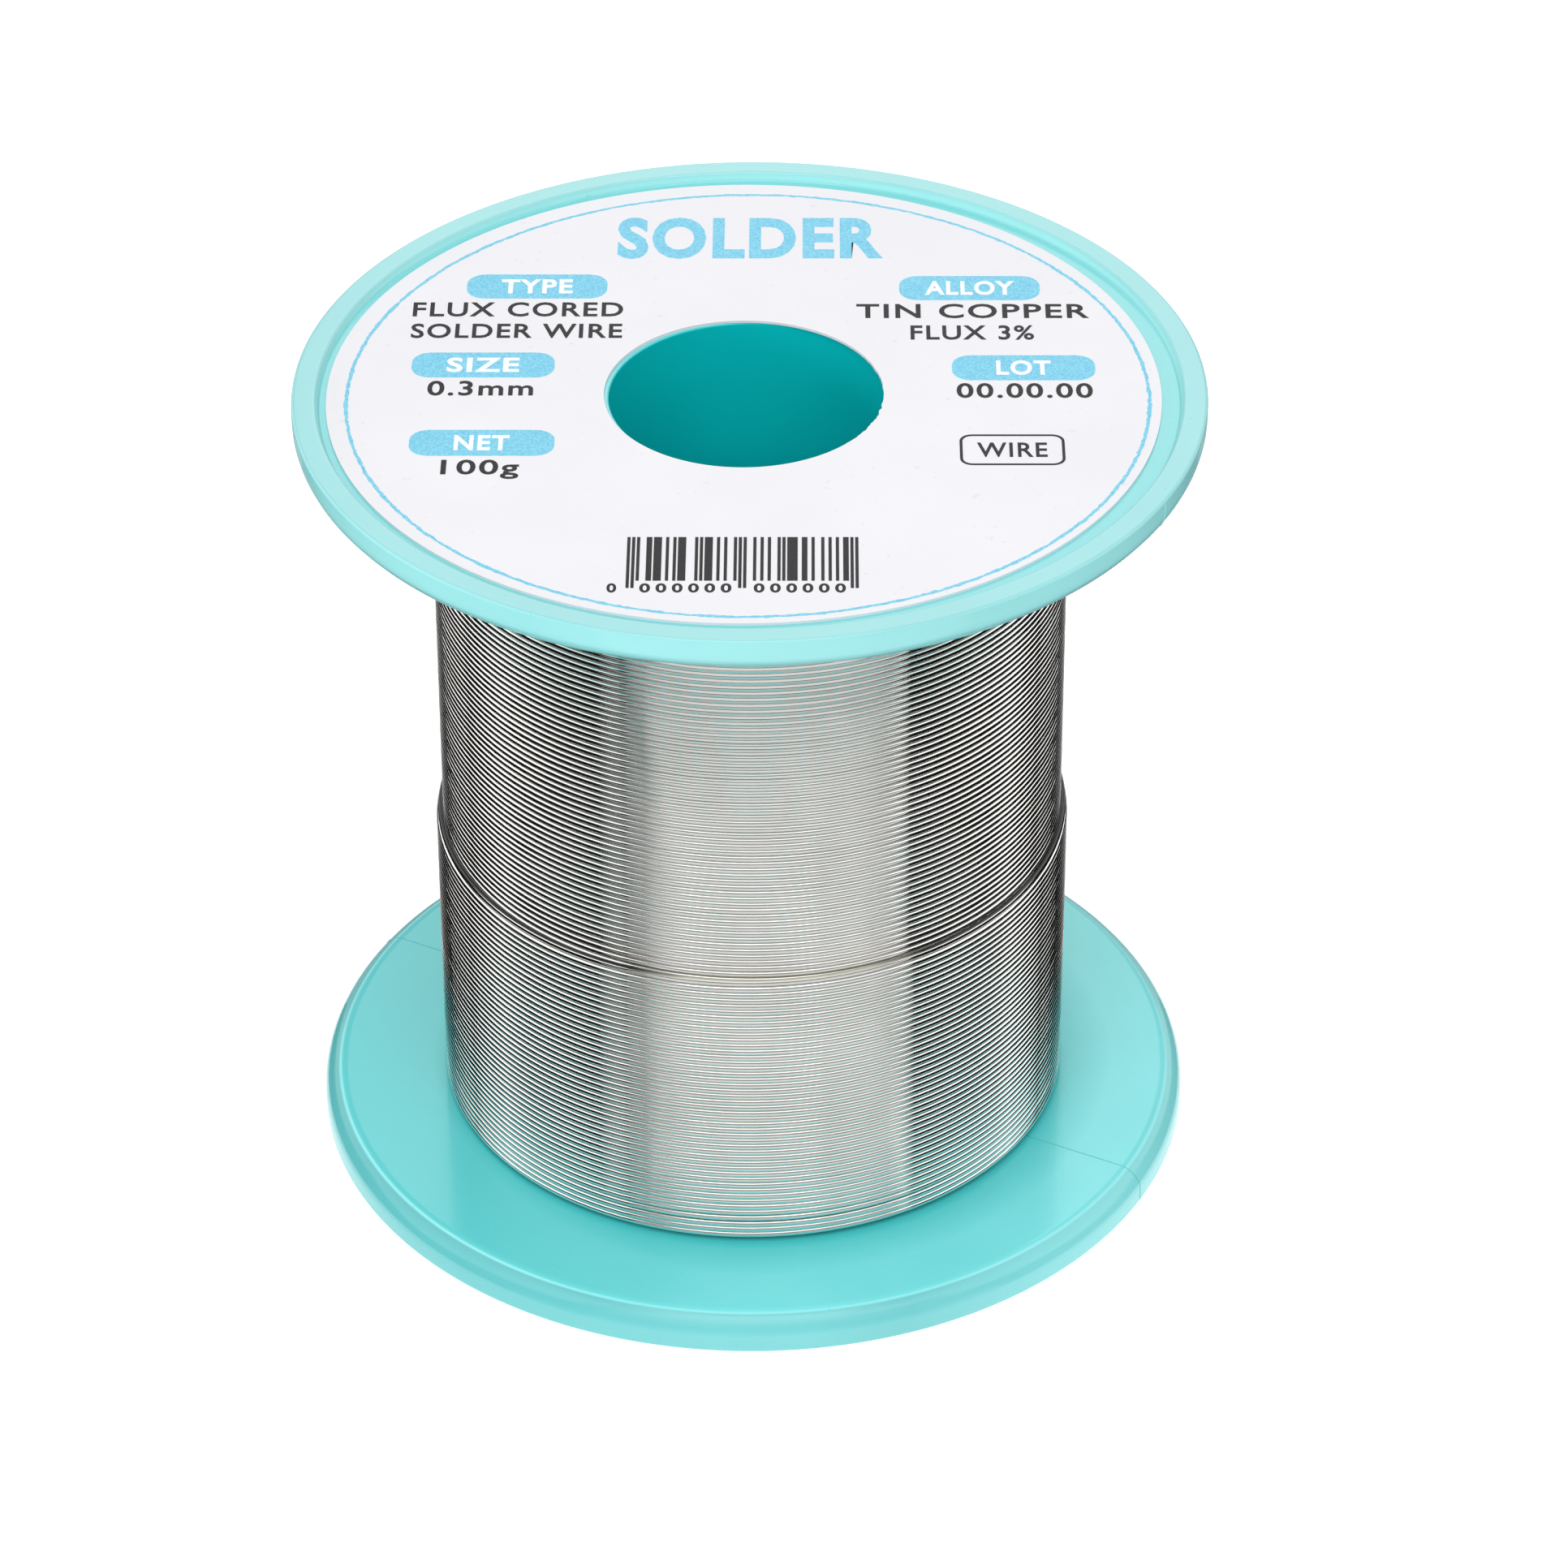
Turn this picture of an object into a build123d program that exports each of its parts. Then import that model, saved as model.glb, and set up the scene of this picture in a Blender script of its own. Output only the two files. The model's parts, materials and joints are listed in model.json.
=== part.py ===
from build123d import *
import os

# Solder wire spool: a one-piece plastic spool with a paper label, wound with flux-cored solder wire.
# The origin is the centre of the lower rim, +Z is the spool's axis and all lengths are millimetres.

# Moulded spool
flange_radius = 20.5
spool_height = 38.9
flange_thickness = 1.75
inner_edge_round = 1.05
recess_radius = 19.35
recess_depth = 0.4
recess_corner_round = 0.12
bore_radius = 6.3
barrel_wall = 1.0

# Paper label in the upper recess, laid slightly off centre
label_radius = 18.7
label_hole_radius = 6.35
label_thickness = 0.12
label_offset = (-0.26, 0.04)

# Flux-cored solder wire and its winding
wire_diameter = 0.3
turns_per_layer = 111
outer_layer_turns = 46
full_layer_radius = 14.42
outer_layer_radius = 14.71
flux_radius = 0.07
last_turn_arc = 110

# Sizes that follow from the ones above
winding_width = spool_height - 2 * flange_thickness
wire_pitch = winding_width / turns_per_layer
wire_radius = wire_diameter / 2
barrel_radius = bore_radius + barrel_wall
core_radius = full_layer_radius - wire_diameter
outer_layer_base = flange_thickness + wire_pitch / 2
last_turn_height = outer_layer_base + (outer_layer_turns + 0.5) * wire_pitch
last_turn_radius = outer_layer_radius - wire_radius

os.makedirs("parts", exist_ok=True)

# The spool is one moulding: two flanges and the barrel between them, each a node of its own.

# Lower flange: a disc with a shallow label recess outside and a rounded rim towards the winding
with BuildPart() as lower_flange:
    with BuildSketch():
        Circle(flange_radius)
        Circle(bore_radius, mode=Mode.SUBTRACT)
    extrude(amount=flange_thickness)
    inner_rim = lower_flange.edges().group_by(Axis.Z)[-1].sort_by(SortBy.RADIUS)[-1]
    fillet(inner_rim, radius=inner_edge_round)
    with BuildSketch():
        Circle(recess_radius)
    extrude(amount=recess_depth, mode=Mode.SUBTRACT)
    recess_floor_edges = lower_flange.edges().filter_by_position(Axis.Z, recess_depth, recess_depth)
    fillet(recess_floor_edges.sort_by(SortBy.RADIUS)[-1], radius=recess_corner_round)
lower_flange.part.label = "lower_flange"
export_step(lower_flange.part, "parts/lower_flange.step")

# Upper flange: the lower one's mirror image about the middle of the spool
with BuildPart() as upper_flange:
    mirror(lower_flange.part, about=Plane.XY.offset(spool_height / 2))
upper_flange.part.label = "upper_flange"
export_step(upper_flange.part, "parts/upper_flange.step")

# Barrel: the thin tube between the flanges, whose bore runs on a spindle
with BuildPart() as barrel:
    with BuildSketch(Plane.XY.offset(flange_thickness)):
        Circle(barrel_radius)
        Circle(bore_radius, mode=Mode.SUBTRACT)
    extrude(amount=winding_width)
barrel.part.label = "barrel"
export_step(barrel.part, "parts/barrel.step")

# Label: a round of paper in the upper recess, with its hole cut just clear of the bore
with BuildPart() as label:
    with BuildSketch(Plane.XY.offset(spool_height - recess_depth)):
        with Locations(label_offset):
            Circle(label_radius)
        Circle(label_hole_radius, mode=Mode.SUBTRACT)
    extrude(amount=label_thickness)
label.part.label = "label"
export_step(label.part, "parts/label.step")

# Inner winding: all the buried layers of wire, as one sleeve that fills the space on the barrel
with BuildPart() as inner_winding:
    with BuildSketch(Plane.XY.offset(flange_thickness)):
        Circle(core_radius)
        Circle(barrel_radius, mode=Mode.SUBTRACT)
    extrude(amount=winding_width)
inner_winding.part.label = "inner_winding"
export_step(inner_winding.part, "parts/inner_winding.step")


def wire_layer_profile(inner_radius, turn_radius, base, turns):
    """Half section of one layer of wire: a thin sleeve with a six-sided bead for each turn."""
    turn_centres = [(turn_radius, base + (turn + 0.5) * wire_pitch) for turn in range(turns)]
    with BuildSketch(Plane.XZ) as profile:
        with Locations((inner_radius, base)):
            Rectangle(turn_radius - inner_radius, turns * wire_pitch, align=(Align.MIN, Align.MIN))
        with Locations(turn_centres):
            RegularPolygon(wire_radius, side_count=6, rotation=30)
    return profile.sketch


# Full wire layer: the last layer that reaches from flange to flange
with BuildPart() as full_wire_layer:
    add(wire_layer_profile(core_radius, full_layer_radius - wire_radius, flange_thickness, turns_per_layer))
    revolve(axis=Axis.Z)
full_wire_layer.part.label = "full_wire_layer"
export_step(full_wire_layer.part, "parts/full_wire_layer.step")

# Outer wire layer: the unfinished layer on top, whose turns sit half a pitch up, over the valleys
with BuildPart() as outer_wire_layer:
    add(wire_layer_profile(full_layer_radius, last_turn_radius, outer_layer_base, outer_layer_turns))
    revolve(axis=Axis.Z)
outer_wire_layer.part.label = "outer_wire_layer"
export_step(outer_wire_layer.part, "parts/outer_wire_layer.step")

# Last turn: the free end of the wire runs from +X round the back, and its cut face shows the flux core.

with BuildPart() as last_turn_alloy:
    with BuildSketch(Plane.XZ):
        with Locations((last_turn_radius, last_turn_height)):
            Circle(wire_radius)
            Circle(flux_radius, mode=Mode.SUBTRACT)
    revolve(axis=Axis.Z, revolution_arc=last_turn_arc)
last_turn_alloy.part.label = "last_turn_alloy"
export_step(last_turn_alloy.part, "parts/last_turn_alloy.step")

with BuildPart() as last_turn_flux:
    with BuildSketch(Plane.XZ):
        with Locations((last_turn_radius, last_turn_height)):
            Circle(flux_radius)
    revolve(axis=Axis.Z, revolution_arc=last_turn_arc)
last_turn_flux.part.label = "last_turn_flux"
export_step(last_turn_flux.part, "parts/last_turn_flux.step")
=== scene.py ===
import json
from math import cos, pi, radians, sin, sqrt, tan

import bmesh
import bpy
import numpy as np
from mathutils import Matrix, Vector


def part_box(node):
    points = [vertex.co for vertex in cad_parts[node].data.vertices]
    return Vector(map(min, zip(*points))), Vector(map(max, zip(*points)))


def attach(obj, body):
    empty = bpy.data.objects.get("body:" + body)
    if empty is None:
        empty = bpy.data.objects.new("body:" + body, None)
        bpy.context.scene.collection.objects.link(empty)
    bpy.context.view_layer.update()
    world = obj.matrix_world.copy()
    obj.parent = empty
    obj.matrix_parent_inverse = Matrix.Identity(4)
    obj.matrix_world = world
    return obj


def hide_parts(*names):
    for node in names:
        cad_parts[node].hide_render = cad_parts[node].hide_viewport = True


MM = 0.001

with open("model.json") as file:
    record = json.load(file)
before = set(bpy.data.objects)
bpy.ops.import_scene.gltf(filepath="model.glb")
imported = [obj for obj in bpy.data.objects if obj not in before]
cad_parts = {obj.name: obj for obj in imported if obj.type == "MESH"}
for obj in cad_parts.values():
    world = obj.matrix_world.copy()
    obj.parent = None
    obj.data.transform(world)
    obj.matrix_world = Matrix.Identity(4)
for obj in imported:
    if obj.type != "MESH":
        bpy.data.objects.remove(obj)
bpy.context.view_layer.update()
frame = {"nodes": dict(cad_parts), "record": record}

# ---------------------------------------------------------------- sizes, mostly read from the CAD nodes
_, LOWER_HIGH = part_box("lower_flange")
UPPER_LOW, UPPER_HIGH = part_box("upper_flange")
_, BARREL_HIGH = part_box("barrel")
LABEL_LOW, LABEL_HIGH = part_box("label")
_, FULL_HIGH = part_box("full_wire_layer")
OUTER_LOW, OUTER_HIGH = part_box("outer_wire_layer")
LAST_LOW, LAST_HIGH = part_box("last_turn_alloy")
FLUX_LOW, FLUX_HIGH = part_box("last_turn_flux")
BORE = [m for m in frame["record"]["mounts"] if m["name"] == "spindle_bore"][0]

FLANGE_R = LOWER_HIGH.x
HEIGHT = UPPER_HIGH.z
FLANGE_T = LOWER_HIGH.z
BORE_R = BORE["dims"]["r_mm"] * MM
RECESS = (HEIGHT - BORE["dims"]["length_mm"] * MM) / 2
BARREL_R = BARREL_HIGH.x
LABEL_R = (LABEL_HIGH.x - LABEL_LOW.x) / 2
LABEL_X = (LABEL_HIGH.x + LABEL_LOW.x) / 2
LABEL_Y = (LABEL_HIGH.y + LABEL_LOW.y) / 2
LABEL_TOP = LABEL_HIGH.z

WIRE_R = (LAST_HIGH.z - LAST_LOW.z) / 2
FLUX_R = (FLUX_HIGH.z - FLUX_LOW.z) / 2
# The turns of the last full layer, side by side from flange to flange.
TURNS = 111
PITCH = (UPPER_LOW.z - LOWER_HIGH.z) / TURNS
OUTER_WIRE_R = LAST_HIGH.y - WIRE_R
FULL_WIRE_R = FULL_HIGH.x - WIRE_R
OUTER_TURNS = round((OUTER_HIGH.z - OUTER_LOW.z) / PITCH)

# Small features that the boxes don't show. The label recess's wall leans, from RECESS_SLOPE inside RECESS_R
# at its foot to as much outside at its lip.
INNER_EDGE_ROUND = 1.05 * MM
RECESS_R = 19.35 * MM
RECESS_SLOPE = 0.07 * MM
RECESS_ROUND = 0.10 * MM
RECESS_LIP_ROUND = 0.14 * MM
OUTER_EDGE_ROUND = 0.13 * MM
BORE_EDGE_ROUND = 0.10 * MM
BARREL_FOOT_ROUND = 0.25 * MM

RNG = np.random.default_rng(7)


# ---------------------------------------------------------------- camera
CAMERA_ELEVATION = radians(34.92)
CAMERA_DISTANCE = 15.0176 * FLANGE_R
CAMERA_AIM_Z = 0.8428 * FLANGE_R
CAMERA_ROLL = -0.0055
CAMERA_LENS = 151.6
CAMERA_SHIFT_X = 0.0206


def make_camera():
    """The photograph's camera, fitted to the two rims, the bore and the winding's sides."""
    data = bpy.data.cameras.new("camera")
    data.lens = CAMERA_LENS
    data.sensor_width = 36
    data.shift_x = CAMERA_SHIFT_X
    data.clip_start = 0.01
    data.clip_end = 20
    camera = bpy.data.objects.new("camera", data)
    bpy.context.scene.collection.objects.link(camera)
    aim = Vector((0, 0, CAMERA_AIM_Z))
    back = Vector((0, -cos(CAMERA_ELEVATION), sin(CAMERA_ELEVATION)))
    turn = back.to_track_quat("Z", "Y").to_matrix().to_4x4() @ Matrix.Rotation(CAMERA_ROLL, 4, "Z")
    camera.matrix_world = Matrix.Translation(aim + back * CAMERA_DISTANCE) @ turn
    bpy.context.scene.camera = camera


# ---------------------------------------------------------------- mesh helpers
def add_mesh(name, verts, faces, material, smooth=True):
    """A new mesh object whose faces all point outwards."""
    mesh = bpy.data.meshes.new(name)
    mesh.from_pydata([tuple(v) for v in verts], [], faces)
    mesh.materials.append(material)
    mesh.validate()
    mesh.update()
    obj = bpy.data.objects.new(name, mesh)
    bpy.context.scene.collection.objects.link(obj)
    work = bmesh.new()
    work.from_mesh(mesh)
    bmesh.ops.recalc_face_normals(work, faces=work.faces)
    work.to_mesh(mesh)
    work.free()
    if smooth:
        mesh.polygons.foreach_set("use_smooth", [True] * len(mesh.polygons))
    return obj


SUPPORT = 0.05 * MM
ROUND_STEPS = 8


def rounded(points, rounds):
    """A closed (r, z) outline with each corner rounded to its own radius. A point SUPPORT before and after
    each round keeps the shading of the flat stretches flat."""
    outline = []
    count = len(points)
    for i, (corner, radius) in enumerate(zip(points, rounds)):
        if radius == 0:
            outline.append(corner)
            continue
        here = Vector(corner)
        before = (Vector(points[i - 1]) - here).normalized()
        after = (Vector(points[(i + 1) % count]) - here).normalized()
        half = before.angle(after) / 2
        reach = radius / tan(half)
        centre = here + (before + after).normalized() * (radius / sin(half))
        start = here + before * reach - centre
        end = here + after * reach - centre
        outline.append(tuple(here + before * (reach + SUPPORT)))
        for s in range(ROUND_STEPS + 1):
            share = s / ROUND_STEPS
            along = start * (1 - share) + end * share
            outline.append(tuple(centre + along.normalized() * radius))
        outline.append(tuple(here + after * (reach + SUPPORT)))
    return outline


LATHE_SEGMENTS = 288


def lathe(name, outline, material):
    """A closed outline turned about the spool's axis."""
    count = len(outline)
    verts = []
    for s in range(LATHE_SEGMENTS):
        a = 2 * pi * s / LATHE_SEGMENTS
        verts += [(r * cos(a), r * sin(a), z) for r, z in outline]
    faces = []
    for s in range(LATHE_SEGMENTS):
        here, there = s * count, (s + 1) % LATHE_SEGMENTS * count
        for i in range(count):
            j = (i + 1) % count
            faces.append((here + i, there + i, there + j, here + j))
    return add_mesh(name, verts, faces, material)


# ---------------------------------------------------------------- node helpers
class Nodes:
    """Short calls for building one material's node tree. Each gives the new node's output socket."""

    def __init__(self, name):
        self.material = bpy.data.materials.new(name)
        self.material.use_nodes = True
        self.tree = self.material.node_tree
        self.shader = self.tree.nodes["Principled BSDF"]
        self.place = self.new("ShaderNodeTexCoord").outputs["Object"]

    def new(self, kind, **settings):
        node = self.tree.nodes.new(kind)
        for key, value in settings.items():
            setattr(node, key, value)
        return node

    def link(self, source, target):
        self.tree.links.new(source, target)

    def noise(self, scale, detail, rough, place=None):
        node = self.new("ShaderNodeTexNoise")
        node.inputs["Scale"].default_value = scale
        node.inputs["Detail"].default_value = detail
        node.inputs["Roughness"].default_value = rough
        self.link(place or self.place, node.inputs["Vector"])
        return node.outputs["Fac"]

    def scaled(self, x, y, z):
        node = self.new("ShaderNodeMapping")
        node.inputs["Scale"].default_value = (x, y, z)
        self.link(self.place, node.inputs["Vector"])
        return node.outputs["Vector"]

    def ramp(self, fac, *stops):
        node = self.new("ShaderNodeValToRGB")
        ramp = node.color_ramp
        while len(ramp.elements) < len(stops):
            ramp.elements.new(0.5)
        for element, (position, colour) in zip(ramp.elements, stops):
            element.position = position
            element.color = (*colour, 1)
        self.link(fac, node.inputs["Fac"])
        return node.outputs["Color"]

    def span(self, fac, low, high, from_low=0.0, from_high=1.0):
        node = self.new("ShaderNodeMapRange")
        node.inputs["From Min"].default_value = from_low
        node.inputs["From Max"].default_value = from_high
        node.inputs["To Min"].default_value = low
        node.inputs["To Max"].default_value = high
        self.link(fac, node.inputs["Value"])
        return node.outputs["Result"]

    def feed(self, socket, value):
        """Links a socket, or sets it to a number or to a colour given as three numbers."""
        if isinstance(value, bpy.types.NodeSocket):
            self.link(value, socket)
        elif isinstance(value, tuple):
            socket.default_value = (*value, 1)
        else:
            socket.default_value = value

    def mix(self, fac, first, second):
        node = self.new("ShaderNodeMix", data_type="RGBA")
        self.feed(node.inputs["Factor"], fac)
        self.feed(node.inputs["A"], first)
        self.feed(node.inputs["B"], second)
        return node.outputs["Result"]

    def math(self, operation, first, second):
        node = self.new("ShaderNodeMath", operation=operation)
        self.feed(node.inputs[0], first)
        self.feed(node.inputs[1], second)
        return node.outputs["Value"]

    def bump(self, height, strength, distance, normal=None):
        node = self.new("ShaderNodeBump")
        node.inputs["Strength"].default_value = strength
        node.inputs["Distance"].default_value = distance
        self.link(height, node.inputs["Height"])
        if normal is not None:
            self.link(normal, node.inputs["Normal"])
        return node.outputs["Normal"]

    def set(self, **values):
        names = {
            "colour": "Base Color", "rough": "Roughness", "metal": "Metallic", "normal": "Normal",
            "ior": "IOR", "specular": "Specular IOR Level", "coat": "Coat Weight",
            "coat_rough": "Coat Roughness", "emission": "Emission Color", "glow": "Emission Strength",
        }
        for key, value in values.items():
            self.feed(self.shader.inputs[names[key]], value)
        return self.material


# ---------------------------------------------------------------- materials
# Radius and half width of the painted highlight line on the lower flange, and reach of the painted shade
# beside the wire.
HIGHLIGHT_LINE_R = FLANGE_R - INNER_EDGE_ROUND + 0.31 * MM
HIGHLIGHT_LINE_W = 0.10 * MM
WIRE_SHADE_W = 2.6 * MM


def lower_flange_colour(n, flow, x, z, from_axis):
    """Mint teal, with painted shade beside the wire, on the left and on the rim's side and round, painted
    light on the rim's right, and a painted highlight line where the inner face's flat meets its round."""
    inner_face = n.span(z, 0.0, 1.0, 0.945 * FLANGE_T, 0.970 * FLANGE_T)
    on_round = n.span(z, 0.0, 1.0, 0.38 * FLANGE_T, 0.50 * FLANGE_T)
    # Painted shade on the left of the lower flange and painted light on its right.
    left = n.span(x, 0.65, 0.0, -0.65 * FLANGE_R, -0.10 * FLANGE_R)
    right = n.span(x, 0.0, 0.8, 0.35 * FLANGE_R, 0.78 * FLANGE_R)
    # The rim's side and round are painted darker than the inner face: painted shade.
    shaded_side_tone = n.ramp(flow, (0.30, (0.140, 0.480, 0.490)), (0.70, (0.156, 0.510, 0.520)))
    shaded_round_tone = n.ramp(flow, (0.30, (0.135, 0.495, 0.507)), (0.70, (0.152, 0.530, 0.542)))
    face_tone = n.ramp(flow, (0.30, (0.160, 0.700, 0.712)), (0.70, (0.185, 0.740, 0.752)))
    colour = n.mix(on_round, shaded_side_tone, shaded_round_tone)
    colour = n.mix(left, colour, (0.075, 0.390, 0.400))
    colour = n.mix(right, colour, (0.215, 0.640, 0.650))
    colour = n.mix(inner_face, colour, face_tone)
    # Painted shade on the inner face beside the wire and on its left.
    contact_shade = n.span(from_axis, 0.95, 0.0, OUTER_WIRE_R, OUTER_WIRE_R + WIRE_SHADE_W)
    shaded = n.math("MULTIPLY", inner_face, n.math("MAXIMUM", left, contact_shade))
    colour = n.mix(shaded, colour, (0.062, 0.560, 0.570))
    # Painted highlight: a pale line where the inner face's flat meets its round.
    rising = n.span(from_axis, 0.0, 1.0, HIGHLIGHT_LINE_R - HIGHLIGHT_LINE_W, HIGHLIGHT_LINE_R)
    falling = n.span(from_axis, 1.0, 0.0, HIGHLIGHT_LINE_R, HIGHLIGHT_LINE_R + HIGHLIGHT_LINE_W)
    return n.mix(n.math("MULTIPLY", rising, falling), colour, (0.300, 0.765, 0.775))


def upper_flange_colour(n, flow, z, from_axis):
    """Paler than the lower flange as painted light, with painted shade on the side towards the wire and
    painted light on the recess's wall, palest there.
    """
    rim_tone = n.ramp(flow, (0.30, (0.238, 0.575, 0.583)), (0.70, (0.262, 0.608, 0.616)))
    # Painted shade on the upper flange's side towards the wire.
    wire_side_shade = n.span(z, 0.0, 0.92, HEIGHT - 0.55 * FLANGE_T, HEIGHT - 0.95 * FLANGE_T)
    colour = n.mix(wire_side_shade, rim_tone, (0.035, 0.220, 0.225))
    # Painted light on the recess's wall, palest there.
    depth = n.span(z, 0.0, 1.0, HEIGHT, HEIGHT - RECESS)
    lit_wall_tone = (0.34, 0.76, 0.76)
    recess_tone = n.ramp(depth, (0.10, (0.25, 0.60, 0.61)), (0.30, lit_wall_tone), (0.75, lit_wall_tone),
                         (0.95, (0.180, 0.585, 0.597)))
    in_recess = n.span(from_axis, 1.0, 0.0, RECESS_R, RECESS_R + 2 * RECESS_SLOPE)
    return n.mix(in_recess, colour, recess_tone)


def spool_plastic():
    """Semi-gloss moulded plastic, mint teal: paler towards the upper flange as painted light, deep inside
    the bore as painted shade, with light flow marks, fine grain, faint scuffs and dark flecks."""
    n = Nodes("spool_plastic")
    split = n.new("ShaderNodeSeparateXYZ")
    n.link(n.place, split.inputs["Vector"])
    x, z = split.outputs["X"], split.outputs["Z"]
    length = n.new("ShaderNodeVectorMath", operation="LENGTH")
    n.link(n.scaled(1, 1, 0), length.inputs[0])
    from_axis = length.outputs["Value"]
    flow = n.noise(90, 3, 0.55)
    low = lower_flange_colour(n, flow, x, z, from_axis)
    high = upper_flange_colour(n, flow, z, from_axis)
    # Painted shade inside the bore: a deep, saturated teal.
    deep = n.ramp(flow, (0.30, (0.001, 0.490, 0.512)), (0.70, (0.002, 0.520, 0.542)))
    # Painted light: the moulding is paler towards the upper flange.
    painted_light_upward = n.span(z, 0.0, 1.0, 0.3 * HEIGHT, 0.9 * HEIGHT)
    bore_shade = n.span(from_axis, 1.0, 0.0, BORE_R + 0.02 * MM, BORE_R + BORE_EDGE_ROUND)
    colour = n.mix(bore_shade, n.mix(painted_light_upward, low, high), deep)
    fleck = n.ramp(n.noise(5200, 1, 0.5), (0.73, (0, 0, 0)), (0.78, (1, 1, 1)))
    colour = n.mix(n.math("MULTIPLY", fleck, 0.25), colour, (0.07, 0.42, 0.42))
    scuff = n.ramp(n.noise(900, 4, 0.65, n.scaled(1, 0.12, 0.6)), (0.60, (0, 0, 0)), (0.75, (1, 1, 1)))
    rough = n.math("ADD", n.span(flow, 0.22, 0.27), n.math("MULTIPLY", scuff, 0.03))
    normal = n.bump(n.noise(3500, 2, 0.5), 0.05, 0.00002)
    normal = n.bump(n.noise(160, 2, 0.5), 0.06, 0.00010, normal)
    return n.set(colour=colour, rough=rough, normal=normal, ior=1.5, coat=0.3, coat_rough=0.08)


def parting_plastic():
    """The lower flange's plastic a little darker, for its parting line."""
    n = Nodes("parting_plastic")
    flow = n.noise(600, 2, 0.5)
    colour = n.ramp(flow, (0.30, (0.060, 0.410, 0.420)), (0.70, (0.090, 0.470, 0.480)))
    normal = n.bump(flow, 0.05, 0.00001)
    return n.set(colour=colour, rough=n.span(flow, 0.30, 0.40), normal=normal, ior=1.5)


def label_paper():
    """Coated white paper with a faint fibre texture, a slight cool tone and a little dust."""
    n = Nodes("label_paper")
    cloud = n.noise(140, 3, 0.5)
    colour = n.ramp(cloud, (0.35, (0.745, 0.744, 0.775)), (0.65, (0.770, 0.766, 0.795)))
    fibre = n.noise(4200, 4, 0.6, n.scaled(1, 0.35, 1))
    dust = n.ramp(n.noise(2600, 1, 0.4), (0.755, (0, 0, 0)), (0.775, (1, 1, 1)))
    colour = n.mix(n.math("MULTIPLY", dust, 0.22), colour, (0.50, 0.51, 0.53))
    normal = n.bump(fibre, 0.10, 0.00002)
    return n.set(colour=colour, rough=n.span(cloud, 0.46, 0.54), normal=normal, ior=1.45, specular=0.35)


def printed_ink(name, dark, light, shine=0.5):
    """Ink with the fine grain of a halftone print."""
    n = Nodes(name)
    grain = n.noise(9000, 2, 0.6)
    colour = n.ramp(grain, (0.40, dark), (0.60, light))
    normal = n.bump(grain, 0.08, 0.000005)
    rough = n.span(grain, 0.38, 0.48)
    return n.set(colour=colour, rough=rough, normal=normal, ior=1.5, specular=shine)


# Centre of the pale golden front of the last turn's top; away from it the top has painted seam shade.
PALE_FRONT_CENTRE = radians(5)


def solder_wire(name, seam_shaded):
    """Bright drawn tin alloy: fine lengthwise draw marks and patches of duller oxide. Seam-shaded, it is
    painted dark as the seam's shade, and pale golden and less metallic where it crosses the front."""
    n = Nodes(name)
    patch = n.noise(260, 3, 0.6)
    colour = n.ramp(patch, (0.30, (0.822, 0.812, 0.782)), (0.70, (0.897, 0.888, 0.860)))
    if seam_shaded:
        split = n.new("ShaderNodeSeparateXYZ")
        n.link(n.place, split.inputs["Vector"])
        facing = n.math("ADD", n.math("MULTIPLY", split.outputs["X"], sin(PALE_FRONT_CENTRE)),
                        n.math("MULTIPLY", split.outputs["Y"], -cos(PALE_FRONT_CENTRE)))
        # Painted shade on the last turn's top, dark away from the front; pale golden at the front.
        front = n.span(facing, 0.0, 1.0, 0.89 * OUTER_WIRE_R, 0.96 * OUTER_WIRE_R)
        dark = n.ramp(patch, (0.30, (0.040, 0.043, 0.043)), (0.70, (0.090, 0.095, 0.095)))
        colour = n.mix(front, dark, (0.56, 0.53, 0.43))
        n.set(metal=n.span(front, 1.0, 0.3))
    else:
        n.set(metal=1.0)
    marks = n.noise(2600, 3, 0.6, n.scaled(0.10, 0.10, 3.0))
    rough = n.math("ADD", n.span(patch, 0.04, 0.07), n.span(marks, 0.0, 0.03))
    normal = n.bump(marks, 0.04, 0.000005)
    normal = n.bump(n.noise(700, 2, 0.5), 0.03, 0.00002, normal)
    return n.set(colour=colour, rough=rough, normal=normal)


def shaded_buried_solder():
    """The wire seen between the turns: the same alloy, darkened as painted shade between the turns."""
    n = Nodes("shaded_buried_solder")
    patch = n.noise(500, 3, 0.6)
    colour = n.ramp(patch, (0.3, (0.22, 0.22, 0.22)), (0.7, (0.32, 0.32, 0.31)))
    normal = n.bump(patch, 0.2, 0.00002)
    return n.set(colour=colour, metal=1.0, rough=n.span(patch, 0.30, 0.45), normal=normal)


def flux_resin():
    """Amber rosin flux."""
    n = Nodes("flux_resin")
    grain = n.noise(6000, 3, 0.6)
    colour = n.ramp(grain, (0.3, (0.55, 0.30, 0.06)), (0.7, (0.75, 0.48, 0.14)))
    normal = n.bump(grain, 0.15, 0.00001)
    return n.set(colour=colour, rough=n.span(grain, 0.15, 0.30), normal=normal, ior=1.53)


def studio_floor():
    """Pale matte floor that glows a little, as a light table does."""
    n = Nodes("studio_floor")
    cloud = n.noise(30, 3, 0.5)
    colour = n.ramp(cloud, (0.3, (0.90, 0.90, 0.90)), (0.7, (0.92, 0.92, 0.92)))
    rough = n.span(cloud, 0.75, 0.85)
    return n.set(colour=colour, rough=rough, specular=0.1, emission=(1, 1, 1), glow=0.45)


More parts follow.
